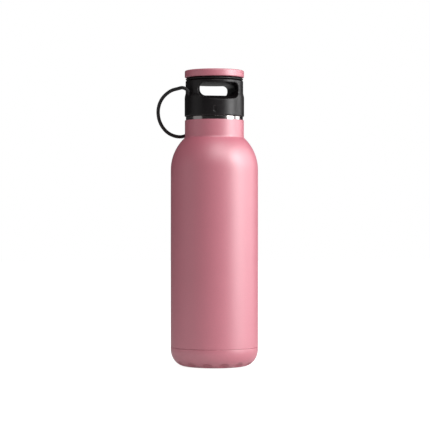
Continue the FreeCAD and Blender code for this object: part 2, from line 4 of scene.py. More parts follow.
import bmesh
import bpy
import numpy as np
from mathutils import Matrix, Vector


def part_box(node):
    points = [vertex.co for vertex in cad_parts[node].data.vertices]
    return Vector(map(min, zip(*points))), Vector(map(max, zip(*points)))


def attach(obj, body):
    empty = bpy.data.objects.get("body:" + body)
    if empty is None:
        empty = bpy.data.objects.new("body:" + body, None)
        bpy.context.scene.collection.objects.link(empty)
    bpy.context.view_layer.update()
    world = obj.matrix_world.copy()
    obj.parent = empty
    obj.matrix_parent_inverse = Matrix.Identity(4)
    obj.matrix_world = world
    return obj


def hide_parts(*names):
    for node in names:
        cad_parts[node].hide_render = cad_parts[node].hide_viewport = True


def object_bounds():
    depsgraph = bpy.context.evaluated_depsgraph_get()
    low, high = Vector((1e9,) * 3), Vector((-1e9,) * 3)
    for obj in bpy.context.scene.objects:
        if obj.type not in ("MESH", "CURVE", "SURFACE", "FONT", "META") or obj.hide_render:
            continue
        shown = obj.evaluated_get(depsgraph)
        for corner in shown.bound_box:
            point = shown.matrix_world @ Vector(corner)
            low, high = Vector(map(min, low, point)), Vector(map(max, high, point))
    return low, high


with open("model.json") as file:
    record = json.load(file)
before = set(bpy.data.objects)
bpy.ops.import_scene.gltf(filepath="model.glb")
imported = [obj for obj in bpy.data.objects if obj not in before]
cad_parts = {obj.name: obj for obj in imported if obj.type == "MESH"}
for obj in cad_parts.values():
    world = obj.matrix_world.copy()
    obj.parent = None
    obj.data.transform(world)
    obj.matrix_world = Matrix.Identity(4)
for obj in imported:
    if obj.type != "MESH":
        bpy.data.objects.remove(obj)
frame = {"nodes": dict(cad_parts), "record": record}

mm = 0.001
cadBounds = [list(corner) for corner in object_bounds()]
bodyOf = {node: body for body, nodes in frame["record"]["behaviour"]["bodies"].items() for node in nodes}
print("frame loaded,", len(frame["nodes"]), "parts")


def roundedLine(corners, steps=8, closed=False):
    # Outline in (radius, height) millimetres: each corner (r, z, rounding) becomes an arc that is
    # tangent to both sides, with reach = rounding / tan(half the corner's angle) along each side.
    places = np.array([c[:2] for c in corners], float)
    line = []
    for i, (r, z, rounding) in enumerate(corners):
        atEnd = not closed and i in (0, len(corners) - 1)
        if rounding <= 0 or atEnd:
            line.append([r, z])
            continue
        here = places[i]
        back = places[i - 1] - here
        ahead = places[(i + 1) % len(corners)] - here
        back /= np.linalg.norm(back)
        ahead /= np.linalg.norm(ahead)
        half = math.acos(np.clip(back @ ahead, -1, 1)) / 2
        start = here + back * rounding / math.tan(half)
        end = here + ahead * rounding / math.tan(half)
        centre = here + (back + ahead) / np.linalg.norm(back + ahead) * rounding / math.sin(half)
        turn = math.pi - 2 * half
        count = max(2, int(math.ceil(steps * turn / (math.pi / 2))))
        share = np.linspace(0, 1, count + 1)[:, None]
        a, b = start - centre, end - centre
        arc = (a * np.sin((1 - share) * turn) + b * np.sin(share * turn)) / math.sin(turn)
        line.extend((centre + arc).tolist())
    return np.array(line)


def refined(line, longest, closed=False):
    # Splits each run of an outline into equal shares no longer than longest.
    following = np.roll(line, -1, axis=0) if closed else line[1:]
    pieces = []
    for a, b in zip(line, following):
        count = max(1, int(math.ceil(np.linalg.norm(b - a) / longest)))
        pieces.append(a + (b - a) * np.arange(count)[:, None] / count)
    if not closed:
        pieces.append(line[-1:])
    return np.concatenate(pieces)


def turnedPoints(line, around):
    # Surface of revolution: point(i, angle) = (r_i cos angle, r_i sin angle, z_i).
    angle = np.arange(around) * 2 * math.pi / around
    r, z = line[:, 0][:, None], line[:, 1][:, None]
    heights = np.broadcast_to(z, (len(line), around))
    return np.stack([r * np.cos(angle), r * np.sin(angle), heights], axis=-1)


def gridFaces(rows, columns, closedRows):
    # Quads between neighbouring rows and columns; the columns always close, the rows only when asked.
    count = rows if closedRows else rows - 1
    i, j = np.meshgrid(np.arange(count), np.arange(columns), indexing="ij")
    nextI, nextJ = (i + 1) % rows, (j + 1) % columns
    corners = [i * columns + j, i * columns + nextJ, nextI * columns + nextJ, nextI * columns + j]
    return np.stack(corners, axis=-1).reshape(-1, 4)


def linked(name, data):
    thing = bpy.data.objects.new(name, data)
    bpy.context.scene.collection.objects.link(thing)
    return thing


def meshPiece(name, points, faces, sharpDegrees=35):
    # A piece from points in millimetres and quads.
    mesh = bpy.data.meshes.new(name)
    flat = np.asarray(points, float).reshape(-1, 3) * mm
    mesh.from_pydata(flat.tolist(), [], faces.tolist())
    piece = linked(name, mesh)
    smoothMesh(mesh, sharpDegrees)
    return piece


weld = dict(sameSpot=0.002, noLength=0.0001)


def smoothMesh(mesh, sharpDegrees):
    # Joins points that lie on one spot, drops slivers, and shades smooth between the sharp edges.
    work = bmesh.new()
    work.from_mesh(mesh)
    bmesh.ops.remove_doubles(work, verts=work.verts, dist=weld["sameSpot"] * mm)
    bmesh.ops.dissolve_degenerate(work, edges=work.edges, dist=weld["noLength"] * mm)
    bmesh.ops.recalc_face_normals(work, faces=work.faces)
    work.to_mesh(mesh)
    work.free()
    mesh.shade_smooth()
    mesh.set_sharp_from_angle(angle=math.radians(sharpDegrees))
    mesh.update()


def place(piece, node, finish):
    # Gives the piece its finish, and lets it ride with and stand for its part.
    piece.data.materials.clear()
    piece.data.materials.append(finish)
    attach(piece, bodyOf[node])
    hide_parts(node)


class Finish:
    # A material with its shader, and short ways to add the nodes its pattern needs.
    def __init__(self, name):
        self.material = bpy.data.materials.new(name)
        self.material.use_nodes = True
        self.tree = self.material.node_tree
        self.shader = self.tree.nodes["Principled BSDF"]
        self.place = self.add("ShaderNodeTexCoord").outputs["Object"]

    def add(self, kind, **settings):
        node = self.tree.nodes.new(kind)
        for key, value in settings.items():
            setattr(node, key, value)
        return node

    def join(self, out, into):
        self.tree.links.new(out, into)

    def stretched(self, scale):
        # Object position times a scale on each axis.
        mapping = self.add("ShaderNodeMapping")
        mapping.inputs["Scale"].default_value = scale
        self.join(self.place, mapping.inputs["Vector"])
        return mapping.outputs["Vector"]

    def noise(self, size, detail=2.0, stretch=None):
        # Cloudy pattern whose features are about size millimetres across.
        node = self.add("ShaderNodeTexNoise")
        node.inputs["Scale"].default_value = 1000.0 / size
        node.inputs["Detail"].default_value = detail
        self.join(self.stretched(stretch) if stretch else self.place, node.inputs["Vector"])
        return node.outputs["Fac"]

    def between(self, fac, low, high, fromLow=0.3, fromHigh=0.7):
        # Maps fromLow to low and fromHigh to high; a noise seldom leaves 0.3 to 0.7.
        node = self.add("ShaderNodeMapRange")
        ends = {"From Min": fromLow, "From Max": fromHigh, "To Min": low, "To Max": high}
        for key, value in ends.items():
            node.inputs[key].default_value = value
        self.join(fac, node.inputs["Value"])
        return node.outputs["Result"]

    def colours(self, fac, first, second):
        node = self.add("ShaderNodeMix", data_type="RGBA")
        self.join(fac, node.inputs["Factor"])
        node.inputs["A"].default_value = (*first, 1)
        node.inputs["B"].default_value = (*second, 1)
        return node.outputs["Result"]

    def bump(self, height, depth, under=None):
        # depth is the pattern's height in millimetres.
        node = self.add("ShaderNodeBump")
        node.inputs["Distance"].default_value = depth * mm
        self.join(height, node.inputs["Height"])
        if under is not None:
            self.join(under, node.inputs["Normal"])
        return node.outputs["Normal"]


def powderCoat(name, look):
    # Satin coat: a slow drift of tone, a fine speckle, and an orange peel with a grain on it.
    finish = Finish(name)
    shader = finish.shader
    drift = finish.between(finish.noise(look["driftSize"], 3), 0, 1)
    speck = finish.between(finish.noise(look["speckSize"], 2), 0, 1)
    base = finish.colours(drift, look["colour"], look["drift"])
    fine = finish.add("ShaderNodeMix", data_type="RGBA", blend_type="MULTIPLY")
    fine.inputs["Factor"].default_value = look["speckle"]
    finish.join(base, fine.inputs["A"])
    finish.join(finish.colours(speck, look["speckDark"], look["speckPale"]), fine.inputs["B"])
    finish.join(fine.outputs["Result"], shader.inputs["Base Color"])
    smear = finish.noise(look["smearSize"], 4)
    finish.join(finish.between(smear, look["roughness"] - look["smear"], look["roughness"] + look["smear"]),
                shader.inputs["Roughness"])
    peel = finish.bump(finish.noise(look["peelSize"], 2), look["peel"])
    finish.join(finish.bump(finish.noise(look["grainSize"], 1), look["grain"], under=peel),
                shader.inputs["Normal"])
    shader.inputs["Specular IOR Level"].default_value = look["specular"]
    shader.inputs["Coat Weight"].default_value = look["coat"]
    shader.inputs["Coat Roughness"].default_value = look["coatRoughness"]
    shader.inputs["Coat IOR"].default_value = look["coatIOR"]
    return finish.material


def mouldedPlastic(name, look):
    # Spark-eroded mould grain: pits in two sizes, under a slow drift of tone and gloss.
    finish = Finish(name)
    shader = finish.shader
    tone = finish.between(finish.noise(look["toneSize"], 3), 0, 1)
    finish.join(finish.colours(tone, look["colour"], look["drift"]), shader.inputs["Base Color"])
    smear = finish.noise(look["smearSize"], 4)
    finish.join(finish.between(smear, look["roughness"] - look["smear"], look["roughness"] + look["smear"]),
                shader.inputs["Roughness"])
    pits = finish.add("ShaderNodeTexVoronoi", feature="SMOOTH_F1")
    pits.inputs["Scale"].default_value = 1000 / look["grainSize"]
    finish.join(finish.place, pits.inputs["Vector"])
    coarse = finish.bump(pits.outputs["Distance"], look["grain"])
    fine = finish.noise(look["grainSize"] * look["fineSize"], 1)
    finish.join(finish.bump(fine, look["grain"] * look["fineDepth"], under=coarse), shader.inputs["Normal"])
    shader.inputs["Specular IOR Level"].default_value = look["specular"]
    return finish.material


def drawnSteel(name, look):
    # Turned steel: fine lines round the axis, as noise squeezed along Z, and faint smears.
    finish = Finish(name)
    shader = finish.shader
    lines = finish.noise(look["lineSize"], 3, stretch=look["stretch"])
    finish.join(finish.colours(finish.between(lines, 0, 1), look["colour"], look["drift"]),
                shader.inputs["Base Color"])
    smear = finish.noise(look["smearSize"], 3)
    finish.join(finish.between(smear, look["roughness"] - look["smooth"], look["roughness"] + look["dull"]),
                shader.inputs["Roughness"])
    finish.join(finish.bump(lines, look["groove"]), shader.inputs["Normal"])
    shader.inputs["Metallic"].default_value = 1.0
    shader.inputs["Anisotropic"].default_value = look["anisotropy"]
    return finish.material


def cellFoam(name, look):
    # Closed cells: rounded bubbles of one size.
    finish = Finish(name)
    cells = finish.add("ShaderNodeTexVoronoi")
    cells.inputs["Scale"].default_value = 1000 / look["cell"]
    finish.join(finish.place, cells.inputs["Vector"])
    finish.join(finish.colours(cells.outputs["Distance"], look["colour"], look["drift"]),
                finish.shader.inputs["Base Color"])
    finish.join(finish.bump(cells.outputs["Distance"], look["depth"]), finish.shader.inputs["Normal"])
    finish.shader.inputs["Roughness"].default_value = look["roughness"]
    return finish.material


def softRubber(name, look):
    # Moulded rubber: a dusty bloom over a fine texture.
    finish = Finish(name)
    bloom = finish.between(finish.noise(look["bloomSize"], 5), 0, 1)
    finish.join(finish.colours(bloom, look["colour"], look["drift"]), finish.shader.inputs["Base Color"])
    finish.join(finish.between(bloom, look["smooth"], look["dull"]), finish.shader.inputs["Roughness"])
    finish.join(finish.bump(finish.noise(look["grainSize"], 2), look["grain"]),
                finish.shader.inputs["Normal"])
    finish.shader.inputs["Sheen Weight"].default_value = look["sheen"]
    return finish.material


def cordYarn(name, look):
    # Filaments along each strand, as noise stretched along the piece's own UV map.
    finish = Finish(name)
    shader = finish.shader
    strip = finish.add("ShaderNodeUVMap", uv_map="along")
    stretch = finish.add("ShaderNodeMapping")
    stretch.inputs["Scale"].default_value = (look["filaments"], look["twist"], 1)
    finish.join(strip.outputs["UV"], stretch.inputs["Vector"])
    hairs = finish.add("ShaderNodeTexNoise")
    hairs.inputs["Scale"].default_value = 1.0
    hairs.inputs["Detail"].default_value = 3.0
    finish.join(stretch.outputs["Vector"], hairs.inputs["Vector"])
    finish.join(finish.colours(finish.between(hairs.outputs["Fac"], 0, 1), look["colour"], look["drift"]),
                shader.inputs["Base Color"])
    finish.join(finish.between(hairs.outputs["Fac"], look["smooth"], look["dull"]),
                shader.inputs["Roughness"])
    finish.join(finish.bump(hairs.outputs["Fac"], look["depth"]), shader.inputs["Normal"])
    shader.inputs["Sheen Weight"].default_value = look["sheen"]
    shader.inputs["Sheen Roughness"].default_value = look["sheenRoughness"]
    return finish.material


coatLook = dict(colour=(0.565, 0.114, 0.174), drift=(0.545, 0.108, 0.166), driftSize=38, speckle=0.35,
                speckSize=0.9, speckDark=(0.88, 0.86, 0.86), speckPale=(1.06, 1.05, 1.05), roughness=0.60,
                smear=0.03, smearSize=7, peel=0.012, peelSize=1.3, grain=0.004, grainSize=0.35,
                specular=0.5, coat=1.0, coatRoughness=0.48, coatIOR=2.35)
pinkPlasticLook = dict(coatLook, colour=(0.555, 0.111, 0.169), drift=(0.535, 0.105, 0.161),
                       coatRoughness=0.45)
lidLook = dict(colour=(0.0060, 0.0044, 0.0050), drift=(0.0075, 0.0056, 0.0064), toneSize=12,
               roughness=0.36, smear=0.04, smearSize=5, grainSize=0.45, grain=0.008, fineSize=0.4,
               fineDepth=0.6, specular=0.52)
linerLook = dict(lidLook, colour=(0.075, 0.075, 0.08), drift=(0.085, 0.085, 0.09), roughness=0.35,
                 grainSize=0.8, grain=0.004, specular=0.5)
collarLook = dict(colour=(0.60, 0.565, 0.555), drift=(0.52, 0.49, 0.48), lineSize=1.0,
                  stretch=(0.02, 0.02, 6.0), roughness=0.13, smooth=0.03, dull=0.05, smearSize=9,
                  groove=0.002, anisotropy=0.4)
insideLook = dict(collarLook, roughness=0.30, groove=0.004, anisotropy=0.6)
foamLook = dict(colour=(0.82, 0.80, 0.74), drift=(0.68, 0.66, 0.60), cell=0.6, depth=0.08, roughness=0.85)
pelletLook = dict(colour=(0.12, 0.12, 0.12), drift=(0.06, 0.06, 0.06), cell=0.25, depth=0.03,
                  roughness=0.85)
siliconeLook = dict(colour=(0.16, 0.16, 0.165), drift=(0.21, 0.21, 0.215), bloomSize=4, smooth=0.55,
                    dull=0.72, grain=0.02, grainSize=0.3, sheen=0.15)
padLook = dict(siliconeLook, colour=(0.03, 0.03, 0.03), drift=(0.05, 0.05, 0.05))
yarnLook = dict(colour=(0.006, 0.005, 0.006), drift=(0.016, 0.014, 0.015), filaments=9.0, twist=40.0,
                smooth=0.5, dull=0.68, depth=0.03, sheen=0.08, sheenRoughness=0.4)

coatPink = powderCoat("satinPinkCoat", coatLook)
plasticPink = powderCoat("satinPinkPlastic", pinkPlasticLook)
plasticBlack = mouldedPlastic("mattBlackPlastic", lidLook)
plasticLiner = mouldedPlastic("linerPlastic", linerLook)
steelCollar = drawnSteel("polishedSteel", collarLook)
steelInside = drawnSteel("turnedSteel", insideLook)
foamWhite = cellFoam("closedCellFoam", foamLook)
rubberGrey = softRubber("greySilicone", siliconeLook)
rubberBlack = softRubber("bondingPad", padLook)
pelletGrey = cellFoam("sinteredPellet", pelletLook)
yarnBlack = cordYarn("blackBraid", yarnLook)
print("finishes ready")

nodeFinish = {
    "outer_shell": coatPink, "outer_bottom": steelInside, "neck_collar": steelCollar,
    "inner_liner": steelInside, "liner_bottom": steelInside, "vacuum_seal": steelInside,
    "getter": pelletGrey, "base_cup": plasticPink, "base_pad": rubberBlack,
    "lid_body": plasticBlack, "lid_liner": plasticLiner, "lid_foam": foamWhite,
    "lid_gasket": rubberGrey, "mixer_grid": plasticLiner, "disc_carrier": plasticBlack,
    "top_disc": plasticPink, "disc_tape": rubberBlack, "cord_stop_front": steelInside,
    "cord_stop_back": steelInside, "carry_cord": yarnBlack,
}
for node, finish in nodeFinish.items():
    part = frame["nodes"][node]
    part.data.materials.clear()
    part.data.materials.append(finish)


shellLow, shellHigh = [np.array(corner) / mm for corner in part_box("outer_shell")]
shell = dict(neckR=24.7, neckHoleR=21.6, shoulderR=36.9, shoulderTurn=45.5, neckFillet=2.4,
             shoulderStart=163.8, wall=0.45, stepIn=1.5, seam=16.05, openR=28.0, stepCorner=7.0,
             edge=0.15, steps=24, longest=6, around=288)


def shellOutline(inset):
    # Half section of the wall, set inwards by inset: neck, fillet, shoulder arc, straight body.
    bodyR = shellHigh[0] - inset
    neckR = shell["neckR"] - inset
    turn = math.radians(shell["shoulderTurn"])
    bodyZ = shell["shoulderStart"] + shell["shoulderR"] * math.tan(turn / 2) - inset * math.tan(turn / 2)
    neckZ = bodyZ + (bodyR - neckR) / math.tan(turn)
    return [(neckR, neckZ, shell["neckFillet"] + inset), (bodyR, bodyZ, shell["shoulderR"] - inset)]


def makeShell():
    # The outside runs down from the neck's hole, over a step at the seam, and the inside runs back up.
    wall, seam, openR = shell["wall"], shell["seam"], shell["openR"]
    bodyR, stepR = shellHigh[0], shellHigh[0] - shell["stepIn"]
    top, low = shellHigh[2], shellLow[2]
    outside = [(shell["neckHoleR"], top, 0), (shell["neckR"], top, shell["edge"]), *shellOutline(0),
               (bodyR, seam, shell["edge"]), (stepR, seam, 0), (stepR, low, shell["stepCorner"]),
               (openR, low, 0)]
    inside = [(openR, low + wall, 0), (stepR - wall, low + wall, shell["stepCorner"] - wall),
              (stepR - wall, seam + wall, 0), (bodyR - wall, seam + wall, 0),
              *reversed(shellOutline(wall)), (shell["neckR"] - wall, top - wall, 0),
              (shell["neckHoleR"], top - wall, 0)]
    line = roundedLine(outside + inside, steps=shell["steps"], closed=True)
    line = refined(line, shell["longest"], closed=True)
    points = turnedPoints(line, shell["around"])
    return meshPiece("flaskShell", points, gridFaces(len(line), shell["around"], True))


place(makeShell(), "outer_shell", coatPink)


collarLow, collarHigh = [np.array(corner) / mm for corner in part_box("neck_collar")]
collar = dict(holeR=21.6, topEdge=0.35, lowEdge=0.15, steps=8, longest=1.5, around=192)


def makeCollar():
    # Closed ring section with two rounded outer edges.
    outR, low, top = collarHigh[0], collarLow[2], collarHigh[2]
    section = [(collar["holeR"], low, 0), (outR, low, collar["lowEdge"]),
               (outR, top, collar["topEdge"]), (collar["holeR"], top, 0)]
    line = roundedLine(section, steps=collar["steps"], closed=True)
    line = refined(line, collar["longest"], closed=True)
    points = turnedPoints(line, collar["around"])
    return meshPiece("steelCollar", points, gridFaces(len(line), collar["around"], True))


place(makeCollar(), "neck_collar", steelCollar)
print("flask made")


cupHigh = np.array(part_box("base_cup")[1]) / mm
cup = dict(contactR=24.5, cornerH=14.0, cornerPoints=34, wall=1.4, fit=0.1, edge=0.3, innerEdge=0.2,
           undersideR=19.0, undersideDepth=2.0, undersideSlope=1.0, standEdge=0.3, padR=25.5,
           padFloor=3.4, steelLow=5.0, steelCorner=7.0, longestUnder=2.5, longest=2.0, around=560,
           sharp=50, dimples=14, dimpleR=6.3, dimpleDepth=2.0, dimpleAtR=30.3, firstDimple=-138.0,
           lip=0.25, lipReach=2, flatKept=1, slack=0.01)


def cupOutline():
    # Half section from the middle of the underside, out over the corner, up the side and back inside.
    # The corner is a quarter ellipse: r = contact + width sin angle, z = height (1 - cos angle).
    outR, top, wide = cupHigh[0], cupHigh[2], cupHigh[0] - cup["contactR"]
    angle = np.linspace(0, math.pi / 2, cup["cornerPoints"])
    cornerR = cup["contactR"] + wide * np.sin(angle)
    corner = np.stack([cornerR, cup["cornerH"] * (1 - np.cos(angle))], axis=1)
    underR, underZ, slope = cup["undersideR"], cup["undersideDepth"], cup["undersideSlope"]
    under = roundedLine([(0, underZ, 0), (underR - slope, underZ, slope), (underR, 0, cup["standEdge"]),
                         (cup["contactR"], 0, 0)])
    innerR, padR = outR - cup["wall"], cup["padR"] + cup["fit"]
    steelZ = cup["steelLow"] - cup["fit"]
    rest = roundedLine([(outR, cup["cornerH"], 0), (outR, top, cup["edge"]), (innerR, top, cup["innerEdge"]),
                        (innerR, steelZ, cup["steelCorner"] + cup["fit"]), (padR, steelZ, 0),
                        (padR, cup["padFloor"], 0), (0, cup["padFloor"], 0)])
    under, rest = refined(under, cup["longestUnder"]), refined(rest, cup["longest"])
    return np.concatenate([under[:-1], corner, rest[1:]])


def dimpled(points):
    # Each dimple is a ball sunk in the corner: a point closer to its centre than the radius moves out to
    # the radius by lip x ln(1 + e^(inside / lip)), a soft maximum that rounds the dimple's lip. The clip
    # keeps that exponent finite.
    wide = cupHigh[0] - cup["contactR"]
    across = cup["dimpleAtR"] - cup["contactR"]
    lift = cup["cornerH"] * (1 - math.sqrt(1 - (across / wide) ** 2))
    normal = np.array([across / wide ** 2, (lift - cup["cornerH"]) / cup["cornerH"] ** 2])
    normal /= np.linalg.norm(normal)
    middle = np.array([cup["dimpleAtR"], lift])
    centreR, centreZ = middle + normal * (cup["dimpleR"] - cup["dimpleDepth"])
    outer = np.hypot(points[..., 0], points[..., 1]) > cup["undersideR"] + cup["flatKept"]
    outer &= points[..., 2] < cup["cornerH"]
    for i in range(cup["dimples"]):
        angle = math.radians(cup["firstDimple"] + 360 * i / cup["dimples"])
        centre = np.array([centreR * math.cos(angle), centreR * math.sin(angle), centreZ])
        away = points - centre
        distance = np.linalg.norm(away, axis=-1)
        inside = cup["dimpleR"] - distance
        push = cup["lip"] * np.log1p(np.exp(np.clip(inside / cup["lip"], -30, 30)))
        push = np.where(outer & (inside > -cup["lipReach"]), push, 0)
        points = points + away / distance[..., None] * push[..., None]
    return points


def makeCup():
    # Only the outside, up to the rounding of the top edge, takes the dimples.
    line = cupOutline()
    points = turnedPoints(line, cup["around"])
    firstInside = int(np.argmax(line[:, 1] >= cupHigh[2] - cup["edge"] - cup["slack"]))
    points = np.concatenate([dimpled(points[:firstInside]), points[firstInside:]])
    return meshPiece("baseCup", points, gridFaces(len(line), cup["around"], False), cup["sharp"])


place(makeCup(), "base_cup", plasticPink)
print("base cup made")


discLow, discHigh = [np.array(corner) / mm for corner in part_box("top_disc")]
disc = dict(roof=2.0, bossR=21.6, topEdge=1.1, lowEdge=0.8, steps=14, longest=2.0, around=224)


def makeDisc():
    # Half section of a shallow cap from the top's middle round to the underside's middle.
    outR, low, top = discHigh[0], discLow[2], discHigh[2]
    roofZ = top - disc["roof"]
    section = [(0, top, 0), (outR, top, disc["topEdge"]), (outR, low, disc["lowEdge"]),
               (disc["bossR"], low, 0), (disc["bossR"], roofZ, 0), (0, roofZ, 0)]
    line = refined(roundedLine(section, steps=disc["steps"]), disc["longest"])
    points = turnedPoints(line, disc["around"])
    return meshPiece("topDisc", points, gridFaces(len(line), disc["around"], False))


place(makeDisc(), "top_disc", plasticPink)


def smoothedCopy(node, name, sharpDegrees):
    # The part's own surface with its loose triangles joined, so light runs smoothly over its roundings.
    copy = linked(name, frame["nodes"][node].data.copy())
    smoothMesh(copy.data, sharpDegrees)
    return copy


cap = dict(sharp=32, taper=0.022, closeness=0.9985, leastR=0.02)


def roundNormals(mesh):
    # On a turned wall a corner's normal is (x / r, y / r, taper), outwards or inwards as its face looks.
    # This is used where the face agrees with it, and every other corner keeps the normal that it has.
    corners = np.empty(len(mesh.loops), int)
    mesh.loops.foreach_get("vertex_index", corners)
    places = np.array([v.co for v in mesh.vertices])[corners]
    faceOf = np.repeat(np.arange(len(mesh.polygons)), [len(p.loop_indices) for p in mesh.polygons])
    facing = np.array([p.normal for p in mesh.polygons])[faceOf]
    normals = np.array([n.vector for n in mesh.corner_normals])
    radius = np.maximum(np.hypot(places[:, 0], places[:, 1]), 1e-6)
    rise = np.full(len(places), cap["taper"])
    ideal = np.stack([places[:, 0] / radius, places[:, 1] / radius, rise], axis=1)
    ideal /= np.linalg.norm(ideal, axis=1)[:, None]
    agree = (facing * ideal).sum(axis=1)
    turned = (np.abs(agree) > cap["closeness"]) & (radius > cap["leastR"])
    normals[turned] = (ideal * np.sign(agree)[:, None])[turned]
    mesh.normals_split_custom_set(normals.tolist())


copies = {
    "lid_body": ("lidCap", "black_plastic"), "disc_carrier": ("discCarrier", "black_plastic"),
    "inner_liner": ("flaskLiner", "bare_steel"), "lid_liner": ("lidLiner", "liner_plastic"),
}
for node, (name, slot) in copies.items():
    copied = smoothedCopy(node, name, cap["sharp"])
    if node == "lid_body":
        roundNormals(copied.data)
    place(copied, node, nodeFinish[node])
print("lid made")


cord = dict(diameter=3.0, strands=6, pitch=9.0, yarnWide=0.60, yarnThick=0.26, yarnSides=8, wave=0.07,
            coreR=1.15, coreSides=16, coreEvery=3, step=0.17, pathEvery=6, resolution=24, sharp=60,
            port=(-22.7, -8.2, 226.3))
cordRoute = [(-21.13, -3.18, 223.86), (-23.3, -10.3, 227.3), (-24.9, -11.1, 229.6), (-27.2, -10.5, 231.2),
             (-29.5, -8.9, 231.7), (-31.5, -5.4, 231.1), (-37.4, -0.6, 229.8), (-44.0, 4.9, 223.6),
             (-46.6, 10.1, 214.3), (-44.4, 14.3, 204.0), (-37.9, 17.8, 195.9), (-29.9, 20.3, 192.4),
             (-22.4, 22.1, 192.3), (-16.7, 23.3, 195.8), (-13.7, 24.0, 203.2), (-12.9, 24.1, 211.5),
             (-14.4, 22.4, 219.0), (-19.5, 16.9, 224.7), (-18.54, 9.25, 230.44)]


def smoothRoute():
    # Points of one NURBS spline that the route's points control.
    curve = bpy.data.curves.new("cordRoute", "CURVE")
    curve.dimensions = "3D"
    curve.resolution_u = cord["resolution"]
    spline = curve.splines.new("NURBS")
    spline.points.add(len(cordRoute) - 1)
    for point, (x, y, z) in zip(spline.points, cordRoute):
        point.co = (x * mm, y * mm, z * mm, 1)
    spline.order_u = 3
    spline.use_endpoint_u = True
    holder = linked("cordRoute", curve)
    line = bpy.data.meshes.new_from_object(holder)
    points = np.array([v.co for v in line.vertices]) / mm
    bpy.data.objects.remove(holder)
    bpy.data.meshes.remove(line)
    return points


def evenly(points, step):
    # The same line with its points a step apart along it.
    runs = np.linalg.norm(np.diff(points, axis=0), axis=1)
    along = np.concatenate([[0], np.cumsum(runs)])
    count = int(round(along[-1] / step)) + 1
    places = np.linspace(0, along[-1], count)
    return np.stack([np.interp(places, along, points[:, k]) for k in range(3)], axis=1), places


def crossAxes(points):
    # Two directions across the line at each point, carried along it without twist.
    tangent = np.gradient(points, axis=0)
    tangent /= np.linalg.norm(tangent, axis=1)[:, None]
    side = np.cross(tangent[0], [0, 0, 1.0])
    sides = []
    for t in tangent:
        side = side - t * (side @ t)
        side /= np.linalg.norm(side)
        sides.append(side)
    sides = np.array(sides)
    return tangent, sides, np.cross(tangent, sides)


def closeEnds(mesh):
    # Caps each open end of the strands and core, and turns every face outwards.
    work = bmesh.new()
    work.from_mesh(mesh)
    bmesh.ops.holes_fill(work, edges=[e for e in work.edges if e.is_boundary], sides=cord["coreSides"])
    bmesh.ops.recalc_face_normals(work, faces=work.faces)
    work.to_mesh(mesh)
    work.free()
    mesh.shade_smooth()
    mesh.set_sharp_from_angle(angle=math.radians(cord["sharp"]))


def tubeRings(centre, across, outward, wide, thick, sides):
    # Rings round a line: point(angle) = centre + across x wide x cos angle + outward x thick x sin angle.
    angle = np.arange(sides) * 2 * math.pi / sides
    return (centre[:, None] + across[:, None] * (wide * np.cos(angle))[None, :, None]
            + outward[:, None] * (thick * np.sin(angle))[None, :, None])


def makeCord():
    # Each strand is a helix: angle = hand x 2 pi s / pitch + its share of the turn, and its distance from
    # the centre rises and falls with cos(2 pi strands s / pitch), so crossing strands pass over and under.
    line, s = evenly(smoothRoute(), cord["step"])
    tangent, sideA, sideB = crossAxes(line)
    yarnR = cord["diameter"] / 2 - cord["yarnThick"] - cord["wave"]
    sides = cord["yarnSides"]
    roundShare = np.broadcast_to(np.arange(sides) / sides, (len(s), sides))
    alongShare = np.broadcast_to((s / s[-1])[:, None], (len(s), sides))
    points, faces, uv, count = [], [], [], 0
    for hand in (1, -1):
        for k in range(cord["strands"]):
            turn = hand * 2 * math.pi * s / cord["pitch"] + 2 * math.pi * k / cord["strands"]
            reach = yarnR + hand * cord["wave"] * np.cos(2 * math.pi * cord["strands"] * s / cord["pitch"])
            outward = sideA * np.cos(turn)[:, None] + sideB * np.sin(turn)[:, None]
            around = -sideA * np.sin(turn)[:, None] + sideB * np.cos(turn)[:, None]
            lean = hand * 2 * math.pi * yarnR / cord["pitch"]
            across = around - tangent * lean
            across /= np.linalg.norm(across, axis=1)[:, None]
            centre = line + outward * reach[:, None]
            rings = tubeRings(centre, across, outward, cord["yarnWide"], cord["yarnThick"], sides)
            points.append(rings.reshape(-1, 3))
            faces.append(gridFaces(len(s), sides, False) + count)
            count += len(s) * sides
            uv.append(np.stack([roundShare, alongShare], axis=-1).reshape(-1, 2))
    thin = slice(None, None, cord["coreEvery"])
    core = tubeRings(line[thin], sideA[thin], sideB[thin], cord["coreR"], cord["coreR"], cord["coreSides"])
    points.append(core.reshape(-1, 3))
    faces.append(gridFaces(core.shape[0], cord["coreSides"], False) + count)
    uv.append(np.zeros((core.shape[0] * cord["coreSides"], 2)))
    mesh = bpy.data.meshes.new("carryCord")
    allPoints = np.concatenate(points) * mm
    allFaces = np.concatenate(faces)
    mesh.from_pydata(allPoints.tolist(), [], allFaces.tolist())
    layer = mesh.uv_layers.new(name="along")
    layer.data.foreach_set("uv", np.concatenate(uv)[allFaces.ravel()].astype(np.float32).ravel())
    closeEnds(mesh)
    length = float(np.linalg.norm(np.diff(line, axis=0), axis=1).sum())
    return linked("carryCord", mesh), line, length


carryCord, cordLine, cordLength = makeCord()
place(carryCord, "carry_cord", yarnBlack)
print("cord made,", round(cordLength, 1), "mm")


studio = dict(azimuth=-11.0, distance=1.3402, height=0.1261, lens=133.95, sensor=36, aside=0.00054,
              roomDiffuse=0.52, roomGloss=0.03, aimShare=0.55)
lamps = {
    "keyPanel": dict(azimuth=68, elevation=20, distance=1.3, size=(0.70, 1.10), power=13.0),
    "coreLamp": dict(azimuth=60, elevation=30, distance=1.3, size=(0.20, 0.24), power=2.4),
    "rimPanel": dict(azimuth=108, elevation=12, distance=1.3, size=(0.60, 1.30), power=6.2),
    "leftCard": dict(azimuth=-72, elevation=4, distance=1.3, size=(1.0, 1.0), power=0.9),
    "frontPanel": dict(azimuth=18, elevation=50, distance=1.3, size=(0.8, 0.7), power=5.4),
}
aim = Vector((0, 0, cadBounds[1][2] * studio["aimShare"]))


